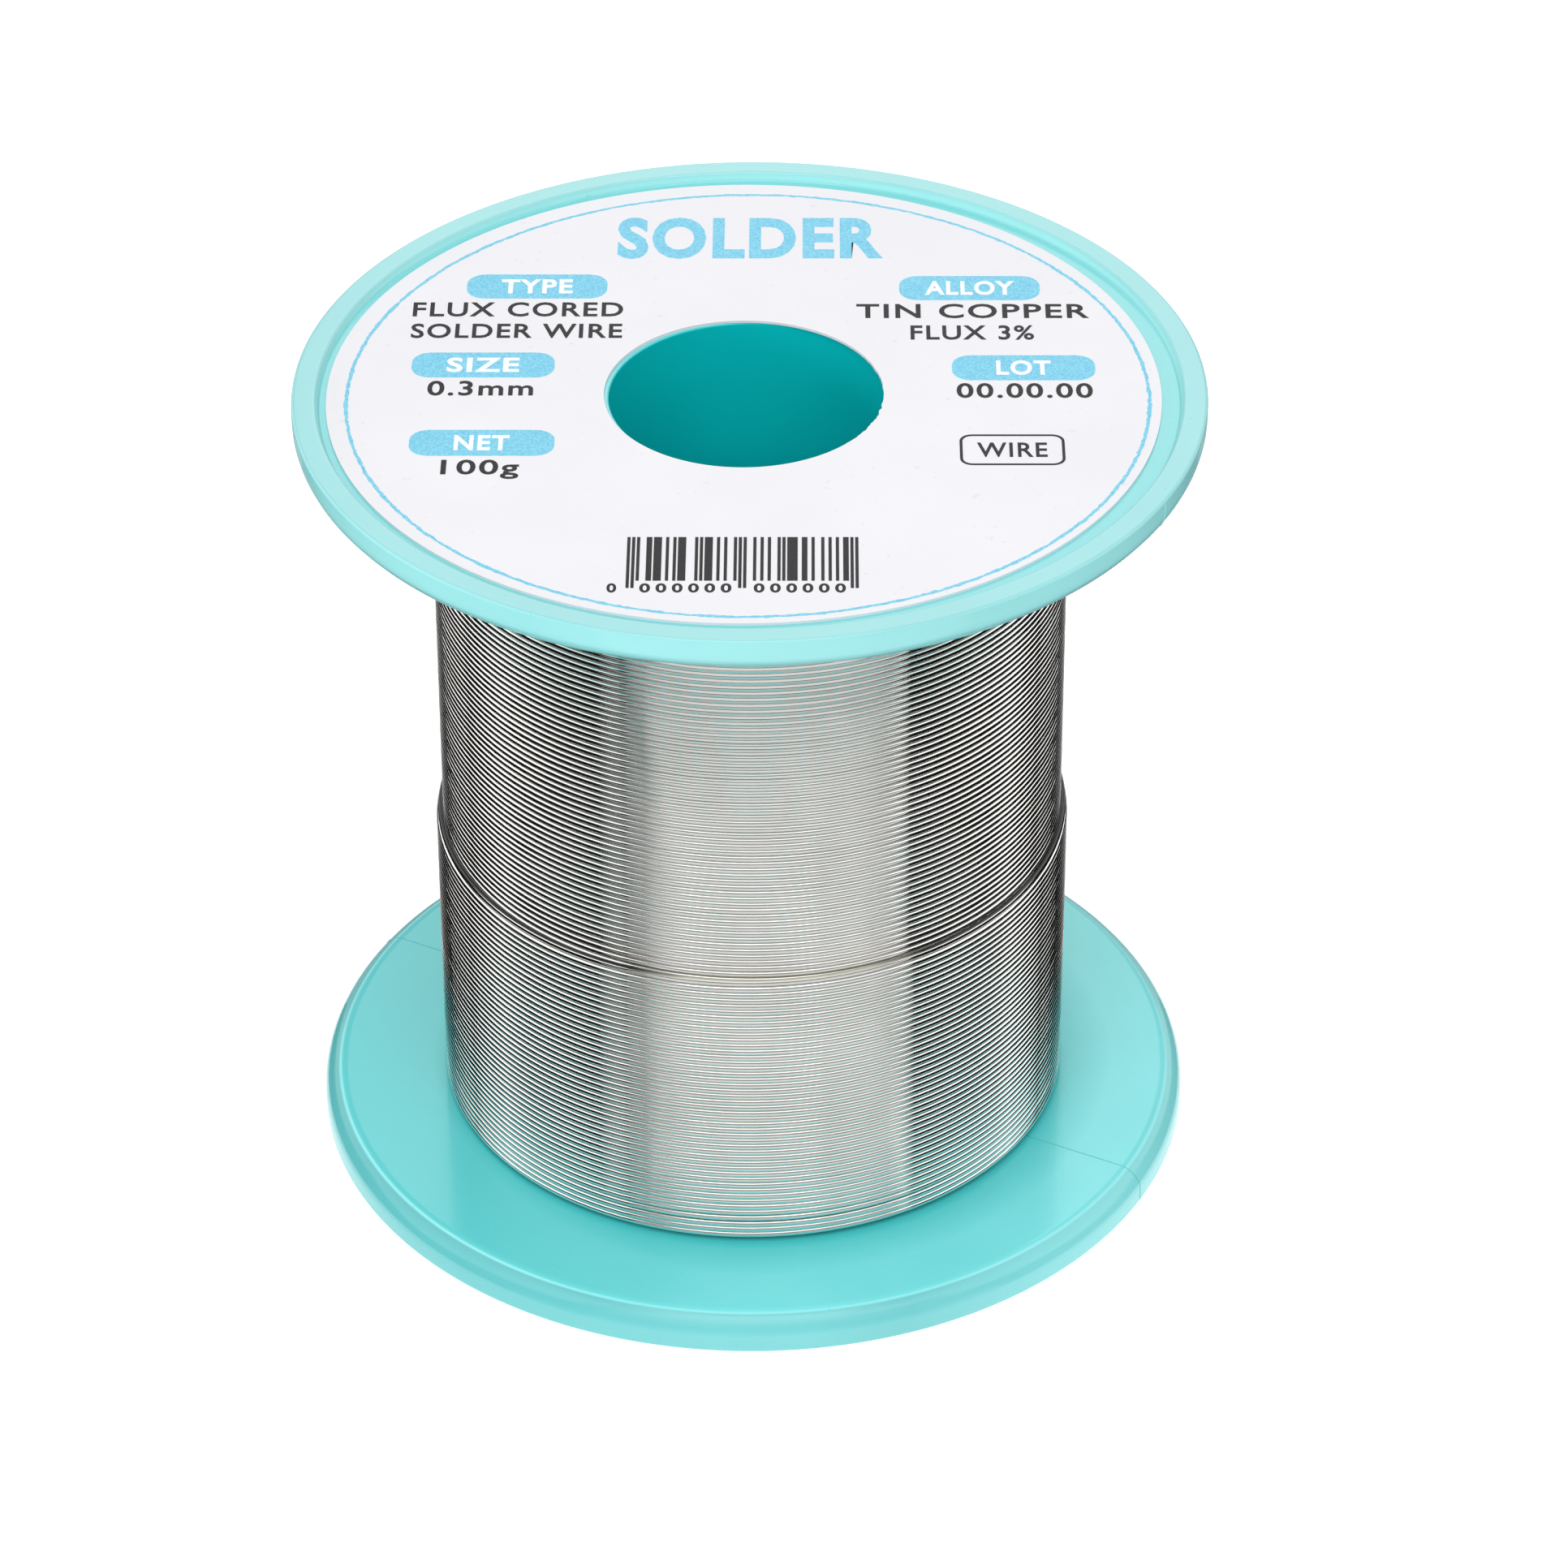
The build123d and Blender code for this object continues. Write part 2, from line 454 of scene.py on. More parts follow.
# ---------------------------------------------------------------- the moulded spool
def flange_outline():
    """Half section of the lower half of the moulding, from the bore round to the barrel's middle."""
    points = [
        (BORE_R, RECESS), (RECESS_R - RECESS_SLOPE, RECESS), (RECESS_R + RECESS_SLOPE, 0), (FLANGE_R, 0),
        (FLANGE_R, FLANGE_T), (BARREL_R, FLANGE_T), (BARREL_R, HEIGHT / 2), (BORE_R, HEIGHT / 2),
    ]
    rounds = [
        BORE_EDGE_ROUND, RECESS_ROUND, RECESS_LIP_ROUND, OUTER_EDGE_ROUND,
        INNER_EDGE_ROUND, BARREL_FOOT_ROUND, 0, 0,
    ]
    return rounded(points, rounds)[:-1]


def make_spool(plastic, shaded_plastic):
    """Both flanges and the barrel as the one moulding that they are."""
    lower = flange_outline()
    upper = [(r, HEIGHT - z) for r, z in reversed(lower[:-1])]
    spool = lathe("spool_moulding", lower + upper, plastic)
    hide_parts("lower_flange", "upper_flange", "barrel")
    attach(spool, "root")
    make_parting_line("lower_parting_line", False, shaded_plastic)
    make_parting_line("upper_parting_line", True, plastic)


PARTING_ANGLE = radians(-28)
PARTING_HALF_WIDTH = 0.035 * MM
PARTING_HEIGHT = 0.022 * MM


def parting_path():
    """The ridge's way out from under the wire and over the rim: (r, z) points with the outward direction."""
    corner = INNER_EDGE_ROUND
    path = [((FULL_WIRE_R, FLANGE_T), (0, 1)), ((FLANGE_R - corner, FLANGE_T), (0, 1))]
    for s in range(1, ROUND_STEPS + 1):
        a = pi / 2 * (1 - s / ROUND_STEPS)
        r = FLANGE_R - corner + corner * cos(a)
        z = FLANGE_T - corner + corner * sin(a)
        path.append(((r, z), (cos(a), sin(a))))
    path.append(((FLANGE_R, OUTER_EDGE_ROUND), (1, 0)))
    return path


def make_parting_line(name, flip, plastic):
    """The fine ridge that the two mould halves leave across a flange's inner face and over its rim."""
    path = parting_path()
    verts, faces = [], []
    for side in (0, pi):
        a = PARTING_ANGLE + side
        along = Vector((cos(a), sin(a), 0))
        across = Vector((-sin(a), cos(a), 0))
        first = len(verts)
        for (r, z), (out_r, out_z) in path:
            base = along * r + Vector((0, 0, z))
            out = along * out_r + Vector((0, 0, out_z))
            for aside, lift in ((-1, -0.5), (0, 1), (1, -0.5)):
                point = base + across * (aside * PARTING_HALF_WIDTH) + out * (lift * PARTING_HEIGHT)
                if flip:
                    point.z = HEIGHT - point.z
                verts.append(point)
        for i in range(len(path) - 1):
            row = first + 3 * i
            for j in range(3):
                k = (j + 1) % 3
                faces.append((row + j, row + k, row + 3 + k, row + 3 + j))
        last = first + 3 * (len(path) - 1)
        faces += [(first, first + 2, first + 1), (last, last + 1, last + 2)]
    ridge = add_mesh(name, verts, faces, plastic, smooth=False)
    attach(ridge, "root")


# ---------------------------------------------------------------- the label and its print
LABEL_HOLE_R = 6.27 * MM
LABEL_RINGS = 40
LABEL_SEGMENTS = 360
LABEL_SHARP = radians(40)
TORN_DEPTH = 0.035 * MM
TORN_TURN = 0.15


def make_label(paper):
    """The paper disc, a little off centre, with a slightly torn edge where it overhangs the bore."""
    thickness = LABEL_HIGH.z - LABEL_LOW.z
    ragged = RNG.normal(0, 1, LABEL_SEGMENTS)
    ragged = (ragged + np.roll(ragged, 1)) / 2
    verts = []
    for level in (0, 1):
        for ring in range(LABEL_RINGS + 1):
            share = ring / LABEL_RINGS
            for s in range(LABEL_SEGMENTS):
                a = 2 * pi * s / LABEL_SEGMENTS
                torn = max(0.0, cos(a + TORN_TURN)) ** 6 * ragged[s] * TORN_DEPTH * (1 - share) ** 8
                r = LABEL_HOLE_R + torn + (LABEL_R - LABEL_HOLE_R) * share
                z = LABEL_LOW.z + level * thickness
                verts.append((LABEL_X + r * cos(a), LABEL_Y + r * sin(a), z))
    faces = []
    layer = (LABEL_RINGS + 1) * LABEL_SEGMENTS
    for s in range(LABEL_SEGMENTS):
        after = (s + 1) % LABEL_SEGMENTS
        for ring in range(LABEL_RINGS):
            here, there = ring * LABEL_SEGMENTS, (ring + 1) * LABEL_SEGMENTS
            faces.append((here + s, there + s, there + after, here + after))
            faces.append((layer + here + s, layer + here + after, layer + there + after, layer + there + s))
        rim = LABEL_RINGS * LABEL_SEGMENTS
        faces.append((s, after, layer + after, layer + s))
        faces.append((rim + s, layer + rim + s, layer + rim + after, rim + after))
    label = add_mesh("paper_label", verts, faces, paper)
    label.data.set_sharp_from_angle(angle=LABEL_SHARP)
    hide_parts("label")
    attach(label, "root")


INK_LOW = -0.006 * MM
INK_HIGH = 0.010 * MM
TOP_INK_HIGH = 0.016 * MM
PRINT_TURN = radians(-0.6)
PRINT_SHIFT = (-0.08 * MM, -0.20 * MM)
PILL_STEPS = 6
LETTER_EXTRUDE = 0.5
LETTER_MERGE = 0.0004


class Print:
    """The thin closed solids of one ink, gathered for one mesh."""

    def __init__(self):
        self.verts = []
        self.faces = []

    def add(self, solid):
        verts, faces = solid
        first = len(self.verts)
        self.verts += verts
        self.faces += [tuple(first + i for i in face) for face in faces]


def prism(outline):
    """The vertices and faces of a thin closed solid over a convex outline."""
    count = len(outline)
    verts = [(x, y, z) for z in (INK_LOW, INK_HIGH) for x, y in outline]
    faces = [tuple(reversed(range(count))), tuple(range(count, 2 * count))]
    for i in range(count):
        j = (i + 1) % count
        faces.append((i, j, count + j, count + i))
    return verts, faces


def pill_outline(x0, y0, x1, y1, corner):
    """A rounded rectangle, in millimetres."""
    outline = []
    for cx, cy, start in (
        (x1 - corner, y0 + corner, -90), (x1 - corner, y1 - corner, 0),
        (x0 + corner, y1 - corner, 90), (x0 + corner, y0 + corner, 180),
    ):
        for s in range(PILL_STEPS + 1):
            a = radians(start + 90 * s / PILL_STEPS)
            outline.append(((cx + corner * cos(a)) * MM, (cy + corner * sin(a)) * MM))
    return outline


def band(outer, inner):
    """The vertices and faces of a thin closed band between two outlines of the same length."""
    count = len(outer)
    outer_low, inner_low, outer_high, inner_high = 0, count, 2 * count, 3 * count
    verts = []
    for outline, z in ((outer, INK_LOW), (inner, INK_LOW), (outer, INK_HIGH), (inner, INK_HIGH)):
        verts += [(x, y, z) for x, y in outline]
    faces = []
    for i in range(count):
        j = (i + 1) % count
        faces.append((outer_low + j, outer_low + i, inner_low + i, inner_low + j))
        faces.append((outer_high + i, outer_high + j, inner_high + j, inner_high + i))
        faces.append((outer_low + i, outer_low + j, outer_high + j, outer_high + i))
        faces.append((inner_low + j, inner_low + i, inner_high + i, inner_high + j))
    return verts, faces


def lettering(words, x, y, width, height, weight, spacing=1.12, top=INK_HIGH):
    """Letters centred on (x, y) millimetres and stretched to a width and a height, as thin closed solids.
    They are extruded by any amount first, and then flattened to the ink's thickness."""
    curve = bpy.data.curves.new("lettering", "FONT")
    curve.body = words
    curve.offset = weight
    curve.extrude = LETTER_EXTRUDE
    curve.space_character = spacing
    curve.resolution_u = 4
    obj = bpy.data.objects.new("lettering", curve)
    bpy.context.scene.collection.objects.link(obj)
    bpy.context.view_layer.update()
    mesh = bpy.data.meshes.new_from_object(obj.evaluated_get(bpy.context.evaluated_depsgraph_get()))
    bpy.data.objects.remove(obj)
    work = bmesh.new()
    work.from_mesh(mesh)
    bmesh.ops.remove_doubles(work, verts=work.verts, dist=LETTER_MERGE)
    work.to_mesh(mesh)
    work.free()
    points = np.array([v.co for v in mesh.vertices])
    low_corner, high_corner = points.min(0), points.max(0)
    size = high_corner - low_corner
    points[:, 0] = (x + ((points[:, 0] - low_corner[0]) / size[0] - 0.5) * width) * MM
    points[:, 1] = (y + ((points[:, 1] - low_corner[1]) / size[1] - 0.5) * height) * MM
    points[:, 2] = np.where(points[:, 2] > 0, top, INK_LOW)
    faces = [tuple(p.vertices) for p in mesh.polygons]
    bpy.data.meshes.remove(mesh)
    return [tuple(p) for p in points], faces


PILL_W, PILL_H, PILL_CORNER = 6.45, 2.15, 0.85
PILL_LETTER_W, PILL_LETTER_H = 0.82, 1.26
LINE_H = 1.27
PILL_WEIGHT, LINE_WEIGHT = 0.03, 0.018
WORD_BOX = (9.40, -5.85, 14.05, -3.30)
WORD_BOX_CORNER, WORD_BOX_LINE = 0.55, 0.13
# Words on their own, in millimetres: words, x, y, width, height and weight.
HEADING = ("SOLDER", 0.0, 13.95, 12.3, 3.8, 0.04)
BOXED_WORD = ("WIRE", 11.72, -4.58, 3.1, 1.20, 0.015)
# Each printed field, in millimetres: word, centre of its pill, and the lines of values under it, each
# with its width, its centre and its height.
FIELDS = (
    ("TYPE", (-9.75, 9.55), (
        ("FLUX CORED", 9.6, (-10.55, 7.50), LINE_H),
        ("SOLDER WIRE", 9.6, (-10.55, 5.60), LINE_H),
    )),
    ("ALLOY", (10.10, 9.40), (
        ("TIN COPPER", 10.6, (10.20, 7.35), LINE_H),
        ("FLUX 3%", 5.6, (10.15, 5.45), LINE_H),
    )),
    ("SIZE", (-11.95, 2.62), (("0.3mm", 4.75, (-12.00, 0.62), LINE_H),)),
    ("LOT", (12.40, 2.38), (("00.00.00", 6.1, (12.40, 0.42), LINE_H),)),
    ("NET", (-11.75, -4.00), (("100g", 3.45, (-11.75, -6.20), 1.25 * LINE_H),)),
)
BARCODE_X0, BARCODE_X1 = -5.10, 4.86
BARCODE_TOP, BARCODE_FOOT, GUARD_FOOT = -11.70, -15.15, -15.72
BARCODE_GROUPS, BARCODE_MODULES = 6, 7
BAR_SPREAD = 0.17
DIGITS = (("0", -5.72, 0.42), ("000000", -2.55, 3.95), ("000000", 2.35, 3.95))
DIGIT_Y, DIGIT_H, DIGIT_WEIGHT, DIGIT_SPACING = -15.72, 0.72, 0.03, 1.5
RING_LINE_R, RING_LINE_W, RING_RAGGED = 17.96, 0.16, 0.020
RING_STEPS = 600


def ragged_circle(radius):
    """A circle, in metres, with the ragged edge of a coarse print."""
    outline = []
    for s, r in enumerate(radius + RNG.normal(0, RING_RAGGED, RING_STEPS)):
        a = 2 * pi * s / RING_STEPS
        outline.append((r * MM * cos(a), r * MM * sin(a)))
    return outline


def make_print(blue_ink, black_ink, white_ink):
    """Generic label print: a ring line, headings, plain values and a barcode that encodes nothing."""
    blue, black, white = Print(), Print(), Print()
    ring_outer = ragged_circle(RING_LINE_R + RING_LINE_W / 2)
    ring_inner = ragged_circle(RING_LINE_R - RING_LINE_W / 2)
    blue.add(band(ring_outer, ring_inner))
    blue.add(lettering(*HEADING))
    for word, (x, y), lines in FIELDS:
        half_w, half_h = PILL_W / 2, PILL_H / 2
        blue.add(prism(pill_outline(x - half_w, y - half_h, x + half_w, y + half_h, PILL_CORNER)))
        word_w = PILL_LETTER_W * len(word)
        white.add(lettering(word, x, y, word_w, PILL_LETTER_H, PILL_WEIGHT, top=TOP_INK_HIGH))
        for words, width, (line_x, line_y), height in lines:
            black.add(lettering(words, line_x, line_y, width, height, LINE_WEIGHT))
    x0, y0, x1, y1 = WORD_BOX
    line = WORD_BOX_LINE
    box_outer = pill_outline(x0, y0, x1, y1, WORD_BOX_CORNER)
    box_inner = pill_outline(x0 + line, y0 + line, x1 - line, y1 - line, WORD_BOX_CORNER - line)
    black.add(band(box_outer, box_inner))
    black.add(lettering(*BOXED_WORD))
    add_barcode(black)
    place = Matrix.Translation((PRINT_SHIFT[0], PRINT_SHIFT[1], LABEL_TOP))
    for name, printed, ink in (
        ("print_blue", blue, blue_ink),
        ("print_black", black, black_ink),
        ("print_white", white, white_ink),
    ):
        piece = add_mesh(name, printed.verts, printed.faces, ink, smooth=False)
        piece.data.transform(place @ Matrix.Rotation(PRINT_TURN, 4, "Z"))
        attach(piece, "root")


def add_barcode(black):
    """Bars of seeded widths that encode nothing: groups of two bars in seven modules, with longer guard
    bars at both ends and in the middle, and zeros under them."""
    guard = [(1, 1, True), (1, 1, True)]
    bars = list(guard)
    for _ in range(2):
        for _ in range(BARCODE_GROUPS):
            cuts = np.sort(RNG.choice(np.arange(1, BARCODE_MODULES), size=3, replace=False))
            first_gap, first_bar, second_gap, second_bar = np.diff([0, *cuts, BARCODE_MODULES])
            bars += [(first_gap, first_bar, False), (second_gap, second_bar, False)]
        bars += guard
    bars[0] = (0, 1, True)
    module = (BARCODE_X1 - BARCODE_X0) / sum(gap + width for gap, width, _ in bars)
    x = BARCODE_X0
    for gap, width, is_guard in bars:
        foot = GUARD_FOOT if is_guard else BARCODE_FOOT
        x0 = x + (gap - BAR_SPREAD) * module
        x1 = x + (gap + width + BAR_SPREAD) * module
        corners = ((x0, foot), (x1, foot), (x1, BARCODE_TOP), (x0, BARCODE_TOP))
        black.add(prism([(a * MM, b * MM) for a, b in corners]))
        x += (gap + width) * module
    for digits, centre, width in DIGITS:
        black.add(lettering(digits, centre, DIGIT_Y, width, DIGIT_H, DIGIT_WEIGHT, DIGIT_SPACING))


# ---------------------------------------------------------------- the solder wire
# Sides of a wire's section. They count from its outermost point upwards, so the painted seam shade is on its
# top.
SIDES = 12
LAST_TURN_SIDES = 24
SEAM_SHADED_SIDES = range(3, 12)
WIRE_END_SHARP = radians(60)
STEPS_PER_TURN = 128
SHOWN_WIRE_R = 0.492 * PITCH
WANDER_Z = 0.005 * MM
WANDER_R = 0.006 * MM
SEAM_SETTLE = 0.06 * MM
SETTLE_STEPS = 20
TAIL_ANGLE = radians(110)
PACKED_TURNS = 3
PACKED_SHARE = 0.9
HIDDEN_STEPS_PER_TURN = 64
OVERLAP_TURNS = 3
FIRST_TURN_Z = FLANGE_T + 1.01 * SHOWN_WIRE_R
LAST_TURN_Z = HEIGHT - FIRST_TURN_Z


def smooth_noise(angles, strength):
    """A slow seeded wander along the wire, free of steps."""
    total = np.zeros_like(angles)
    for rate, share in ((0.21, 0.5), (0.47, 0.3), (1.30, 0.25), (2.70, 0.15)):
        total += share * np.sin(rate * angles + RNG.uniform(0, 2 * pi))
    return total * strength


def tube_mesh(name, angles, radii, heights, wire_r, material, sides=SIDES, seam_shaded=None):
    """A round wire along a path round the spool's axis, closed at both ends. Its top can have a second
    material, painted with the seam's shade."""
    ring = 2 * pi * np.arange(sides) / sides
    out = radii[:, None] + wire_r * np.cos(ring)[None, :]
    x = out * np.cos(angles)[:, None]
    y = out * np.sin(angles)[:, None]
    z = heights[:, None] + wire_r * np.sin(ring)[None, :]
    verts = np.stack([x, y, z], axis=2).reshape(-1, 3)
    faces = []
    count = len(angles)
    for i in range(count - 1):
        row = i * sides
        for j in range(sides):
            k = (j + 1) % sides
            faces.append((row + j, row + k, row + sides + k, row + sides + j))
    faces.append(tuple(range(sides)))
    faces.append(tuple((count - 1) * sides + j for j in reversed(range(sides))))
    piece = add_mesh(name, verts, faces, material)
    piece.data.set_sharp_from_angle(angle=WIRE_END_SHARP)
    if seam_shaded:
        piece.data.materials.append(seam_shaded)
        for i in range(count - 1):
            for j in SEAM_SHADED_SIDES:
                piece.data.polygons[i * sides + j].material_index = 1
    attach(piece, "root")
    return piece


def turn_heights(turns, base):
    """Height of the wire's centre after a number of turns. The first few are packed close, and the turn
    after them makes up for it."""
    saved = PACKED_SHARE * (PITCH - 2 * WIRE_R)
    packed = saved * np.minimum(turns, PACKED_TURNS)
    made_up = saved * PACKED_TURNS * np.clip(turns - PACKED_TURNS, 0, 1)
    return base + turns * PITCH - packed + made_up


def make_full_layer(bright):
    """The last full layer as a helix: a coarser piece where the outer layer hides it, a fine one above."""
    visible_from = OUTER_TURNS - OVERLAP_TURNS
    for name, start, end, steps in (
        ("full_layer_hidden_turns", 0, visible_from, HIDDEN_STEPS_PER_TURN),
        ("full_layer_visible_turns", visible_from, TURNS - 1, STEPS_PER_TURN),
    ):
        turns = np.linspace(start, end, (end - start) * steps + 1)
        angles = pi - 2 * pi * turns
        heights = FIRST_TURN_Z + (LAST_TURN_Z - FIRST_TURN_Z) * turns / (TURNS - 1)
        heights = np.clip(heights + smooth_noise(angles, WANDER_Z), FIRST_TURN_Z, LAST_TURN_Z)
        radii = FULL_WIRE_R + smooth_noise(angles, WANDER_R)
        piece = tube_mesh(name, angles, radii, heights, SHOWN_WIRE_R, bright)
        if start == 0:
            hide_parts("full_wire_layer")


def make_outer_layer(bright, seam_shaded):
    """The unfinished layer as one helix, from the lower flange up to its free end at the back. Its last
    turn has painted seam shade on top and settles into the groove beneath. Gives the wire end's angle,
    radius and height."""
    whole = OUTER_TURNS + TAIL_ANGLE / (2 * pi)
    turns = np.linspace(0, whole, int(whole * STEPS_PER_TURN) + 1)
    angles = 2 * pi * turns
    heights = turn_heights(turns, OUTER_LOW.z) + smooth_noise(angles, WANDER_Z)
    heights = np.maximum(heights, FIRST_TURN_Z)
    radii = OUTER_WIRE_R + smooth_noise(angles, WANDER_R)
    cut = len(turns) - STEPS_PER_TURN
    radii[cut:] -= SEAM_SETTLE * np.clip(np.arange(STEPS_PER_TURN) / SETTLE_STEPS, 0, 1)
    for name, run, node, sides, top in (
        ("outer_layer_turns", slice(0, cut + 1), "outer_wire_layer", SIDES, None),
        ("last_outer_turn", slice(cut, None), "last_turn_alloy", LAST_TURN_SIDES, seam_shaded),
    ):
        piece = tube_mesh(name, angles[run], radii[run], heights[run], SHOWN_WIRE_R, bright, sides, top)
        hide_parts(node)
    return angles[-1], radii[-1], heights[-1]


FLUX_SHOWN_ANGLE = 0.30
FLUX_PROUD_ANGLE = 0.0006
FLUX_STEPS = 24


def make_flux_end(angle, radius, height, resin):
    """The flux core, seen as a dot in the cut end of the wire."""
    angles = np.linspace(angle - FLUX_SHOWN_ANGLE, angle + FLUX_PROUD_ANGLE, FLUX_STEPS)
    radii = np.full(FLUX_STEPS, radius)
    heights = np.full(FLUX_STEPS, height)
    piece = tube_mesh("flux_core_end", angles, radii, heights, FLUX_R, resin)
    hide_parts("last_turn_flux")


# ---------------------------------------------------------------- studio
# The columns are name, centre, aim, width, height, radiance, and whether reflections show the light.
LIGHTS = (
    ("overhead_softbox", (0.0, -0.08, 0.60), (0, 0, 0), 0.32, 0.38, 2.2, True),
    ("front_key", (0.0, -0.42, 0.46), (0, 0, 0.02), 0.70, 0.35, 2.7, False),
    ("left_fill", (-0.60, -0.18, 0.08), (0, 0, 0.03), 0.40, 0.25, 4.2, False),
)
WORLD_STRENGTH = 0.60
FLOOR_REACH = 3.0
FLOOR_GAP = 0.02 * MM


def area_light(name, centre, aim, width, height, radiance, reflected):
    """A rectangular light with its radiance given in place of its power."""
    data = bpy.data.lights.new(name, "AREA")
    data.shape = "RECTANGLE"
    data.size = width
    data.size_y = height
    data.energy = radiance * pi * width * height
    light = bpy.data.objects.new(name, data)
    bpy.context.scene.collection.objects.link(light)
    direction = Vector(aim) - Vector(centre)
    turn = direction.to_track_quat("-Z", "Y").to_matrix().to_4x4()
    light.matrix_world = Matrix.Translation(centre) @ turn
    light.visible_camera = False
    light.visible_glossy = reflected


def make_floor():
    """A pale floor, a hair below the spool so that it doesn't share a plane with the rim's foot."""
    mesh = bpy.data.meshes.new("floor")
    verts = [(x * FLOOR_REACH, y * FLOOR_REACH, -FLOOR_GAP) for x, y in ((-1, -1), (1, -1), (1, 1), (-1, 1))]
    mesh.from_pydata(verts, [], [(0, 1, 2, 3)])
    mesh.materials.append(studio_floor())
    floor = bpy.data.objects.new("floor", mesh)
    bpy.context.scene.collection.objects.link(floor)


def make_world():
    world = bpy.data.worlds.new("world")
    world.use_nodes = True
    background = world.node_tree.nodes["Background"]
    background.inputs["Color"].default_value = (1.0, 1.0, 1.0, 1)
    background.inputs["Strength"].default_value = WORLD_STRENGTH
    bpy.context.scene.world = world


# Cards only show in reflections. Each covers a sector, given in degrees from the front by the place on the
# winding whose reflection falls there. A wall card stands at CARD_REACH between two elevations, and the
# lower one changes evenly from one end to the other. The columns are name, from, to, brightness, and for a
# wall card the lower edge at both ends and the upper edge.
CARD_FLOOR_Z = 0.6 * MM
CARD_NEAR_R = FLANGE_R + 1.0 * MM
CARD_REACH = 0.30
BLACK_REACH = 0.31
CARD_STEPS = 16
WHITE = 1.35
BLACK = 0.006
FLOOR_CARDS = (
    ("front_floor_card", -18, 27, 0.76),
    ("left_soft_floor_card", -26, -18, 0.30),
    ("left_black_floor_card", -74, -26, BLACK),
    ("right_black_floor_card", 27, 74, BLACK),
    ("back_left_floor_card", -100, -74, 0.45),
    ("back_right_floor_card", 74, 100, 0.45),
)
WALL_CARDS = (
    ("front_low_card", -21, 27, 0.22, 3, 3, 22),
    ("front_wall_card", -21, 27, 0.46, 22, 22, 48),
    ("front_high_card", -20, 27, 1.60, 48, 48, 66),
    ("left_grey_card", -84, -76, 0.60, 0, 0, 68),
    ("left_white_side", -76, -58, WHITE, 6, 21, 68),
    ("left_white_card", -58, -46, WHITE, 25, 10, 68),
    ("left_white_slope", -46, -24, WHITE, 10, 32, 68),
    ("right_white_slope", 27, 48, WHITE, 30, 10, 68),
    ("right_white_card", 48, 60, WHITE, 10, 26, 68),
    ("right_white_side", 60, 76, WHITE, 22, 4, 68),
    ("right_grey_card", 76, 84, 0.60, 0, 0, 68),
    ("back_light_card", 84, 96, 2.1, 22, 22, 50),
)
BLACK_WALLS = (
    ("left_black_wall", -74, -21, BLACK, 0, 0, 70),
    ("right_black_wall", 27, 74, BLACK, 0, 0, 70),
)


def card_material(name, brightness):
    """A matte card that glows slightly unevenly, so that reflections of it aren't flat."""
    n = Nodes(name)
    cloud = n.noise(20, 3, 0.5)
    glow = n.ramp(cloud, (0, (brightness * 0.9,) * 3), (1, (brightness * 1.1,) * 3))
    n.material.cycles.emission_sampling = "NONE"
    return n.set(colour=(0, 0, 0), rough=0.9, specular=0.0, emission=glow, glow=1.0)


def reflected_point(place, distance):
    """Where a level ray from the front, reflected by the winding at this place, is after that distance."""
    return Vector((
        OUTER_WIRE_R * sin(place) + distance * sin(2 * place),
        -OUTER_WIRE_R * cos(place) - distance * cos(2 * place), 0))


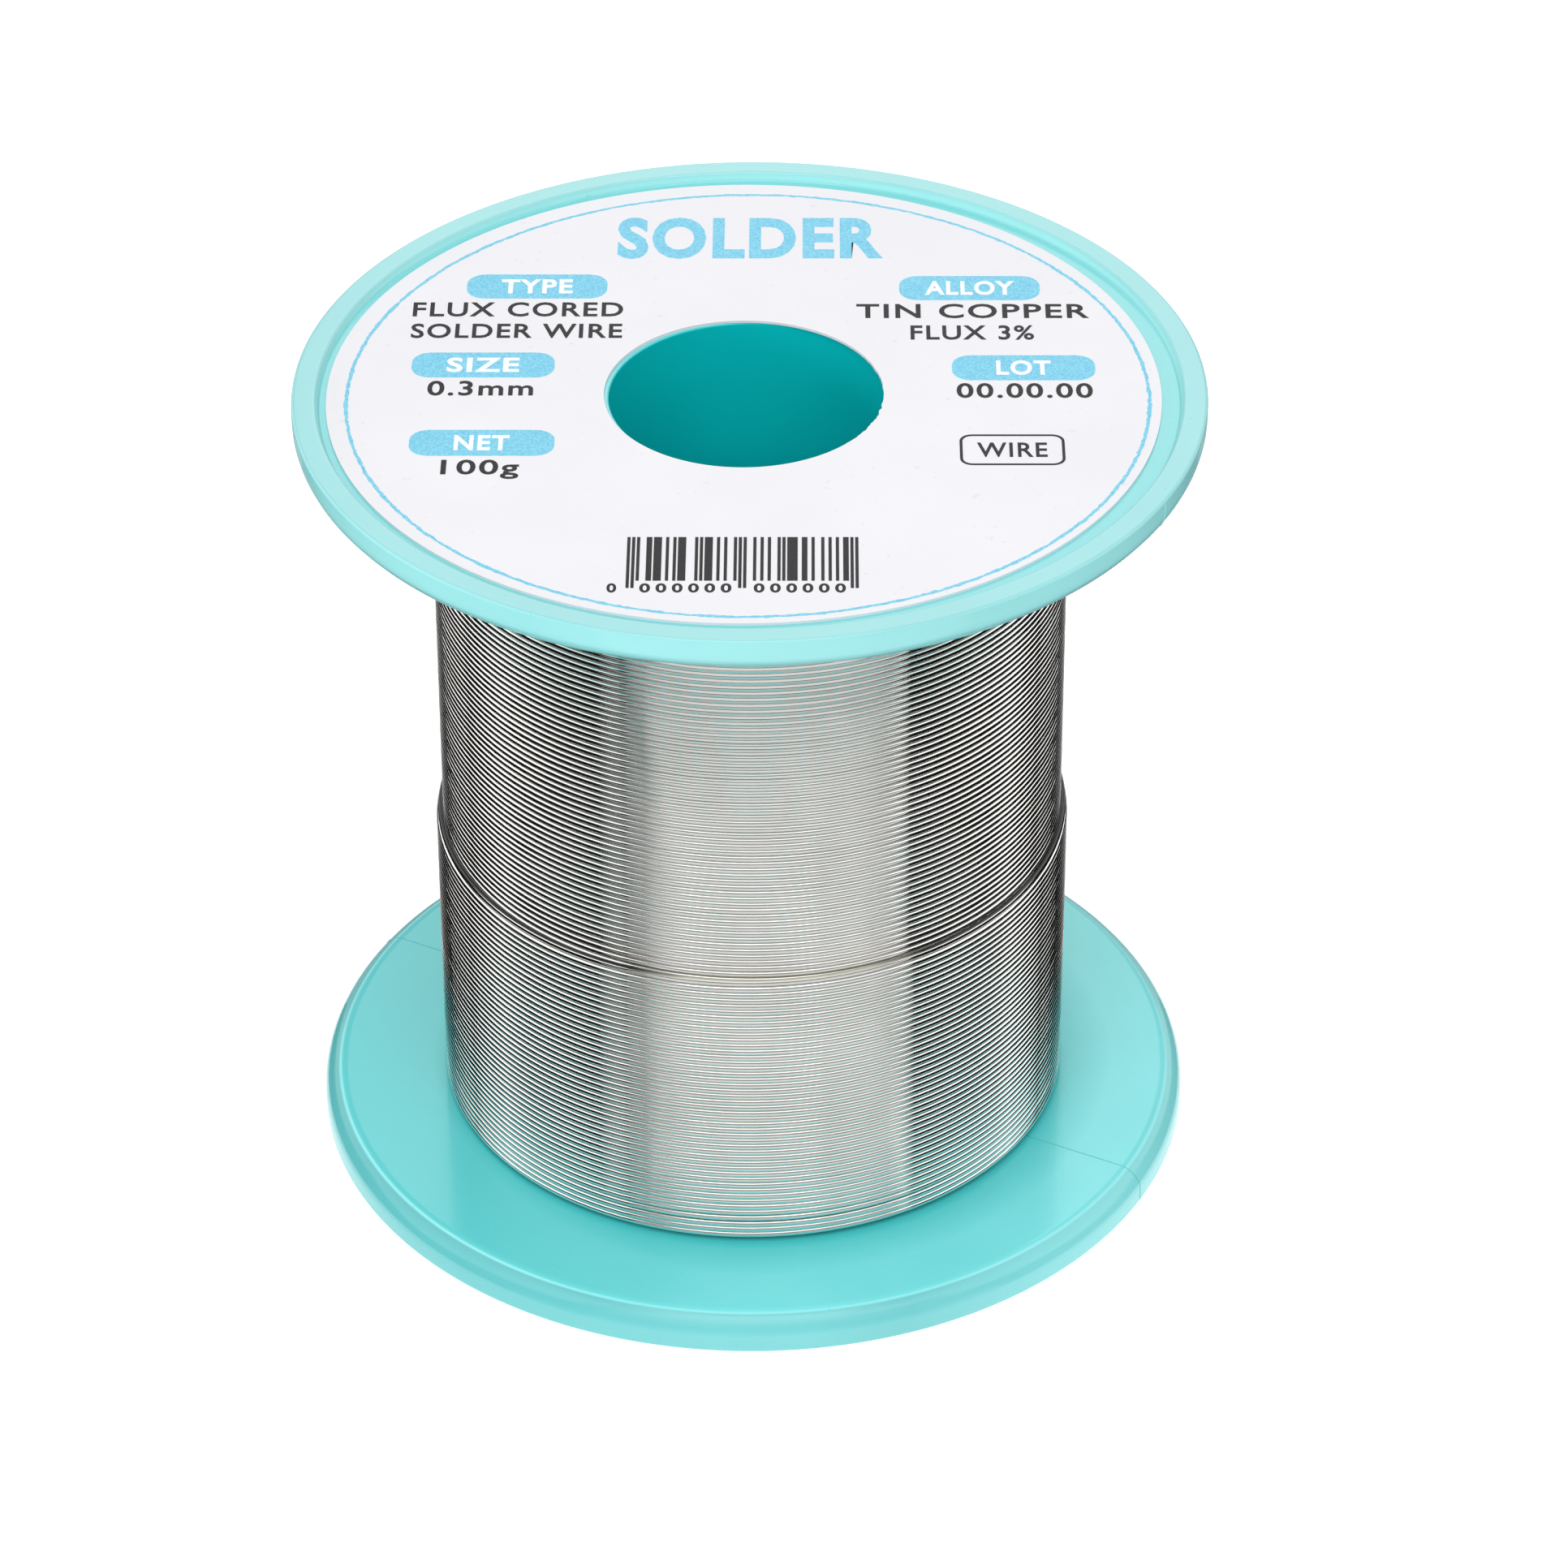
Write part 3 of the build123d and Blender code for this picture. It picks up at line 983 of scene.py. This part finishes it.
def add_card(name, first, last, brightness, edges):
    """A strip of card over a sector. At a place in it, and its share of the way along, edges gives the
    (distance, height) of both long edges."""
    verts, faces = [], []
    for s in range(CARD_STEPS + 1):
        place = radians(first + (last - first) * s / CARD_STEPS)
        for distance, z in edges(place, s / CARD_STEPS):
            verts.append(reflected_point(place, distance) + Vector((0, 0, z)))
    for s in range(CARD_STEPS):
        faces.append((2 * s, 2 * s + 1, 2 * s + 3, 2 * s + 2))
    card = add_mesh(name, verts, faces, card_material(name, brightness), smooth=False)
    card.visible_camera = False
    card.visible_diffuse = False
    card.visible_shadow = False
    card.visible_transmission = False


def floor_edges(place, share):
    """A floor card reaches from just clear of the spool to the wall cards."""
    clear_of_spool = sqrt(CARD_NEAR_R ** 2 - (OUTER_WIRE_R * sin(place)) ** 2) - OUTER_WIRE_R * cos(place)
    return (clear_of_spool, CARD_FLOOR_Z), (CARD_REACH, CARD_FLOOR_Z)


def wall_edges(reach, low_first, low_last, high):
    """A wall card stands between two elevations, the lower one changing along it."""
    def edges(place, share):
        low = low_first + (low_last - low_first) * share
        return [(reach, CARD_FLOOR_Z + reach * tan(radians(elevation))) for elevation in (low, high)]

    return edges


def make_cards():
    for name, first, last, brightness in FLOOR_CARDS:
        add_card(name, first, last, brightness, floor_edges)
    for reach, cards in ((CARD_REACH, WALL_CARDS), (BLACK_REACH, BLACK_WALLS)):
        for name, first, last, brightness, *elevations in cards:
            add_card(name, first, last, brightness, wall_edges(reach, *elevations))


# ---------------------------------------------------------------- assembly
make_camera()
make_spool(spool_plastic(), parting_plastic())
make_label(label_paper())
make_print(
    printed_ink("ink_blue", (0.120, 0.470, 0.660), (0.215, 0.590, 0.750)),
    printed_ink("ink_black", (0.006, 0.005, 0.006), (0.016, 0.015, 0.016), shine=0.2),
    printed_ink("ink_white", (0.800, 0.825, 0.865), (0.86, 0.88, 0.91)),
)
bright_wire = solder_wire("solder_wire", seam_shaded=False)
make_full_layer(bright_wire)
wire_end = make_outer_layer(bright_wire, solder_wire("solder_wire_seam_shaded", seam_shaded=True))
make_flux_end(*wire_end, flux_resin())
# The inner winding gets the alloy darkened as painted shade between the turns.
inner = frame["nodes"]["inner_winding"]
inner.data.materials.clear()
inner.data.materials.append(shaded_buried_solder())
make_floor()
make_world()
for light in LIGHTS:
    area_light(*light)
make_cards()
bpy.context.scene.view_settings.view_transform = "Standard"
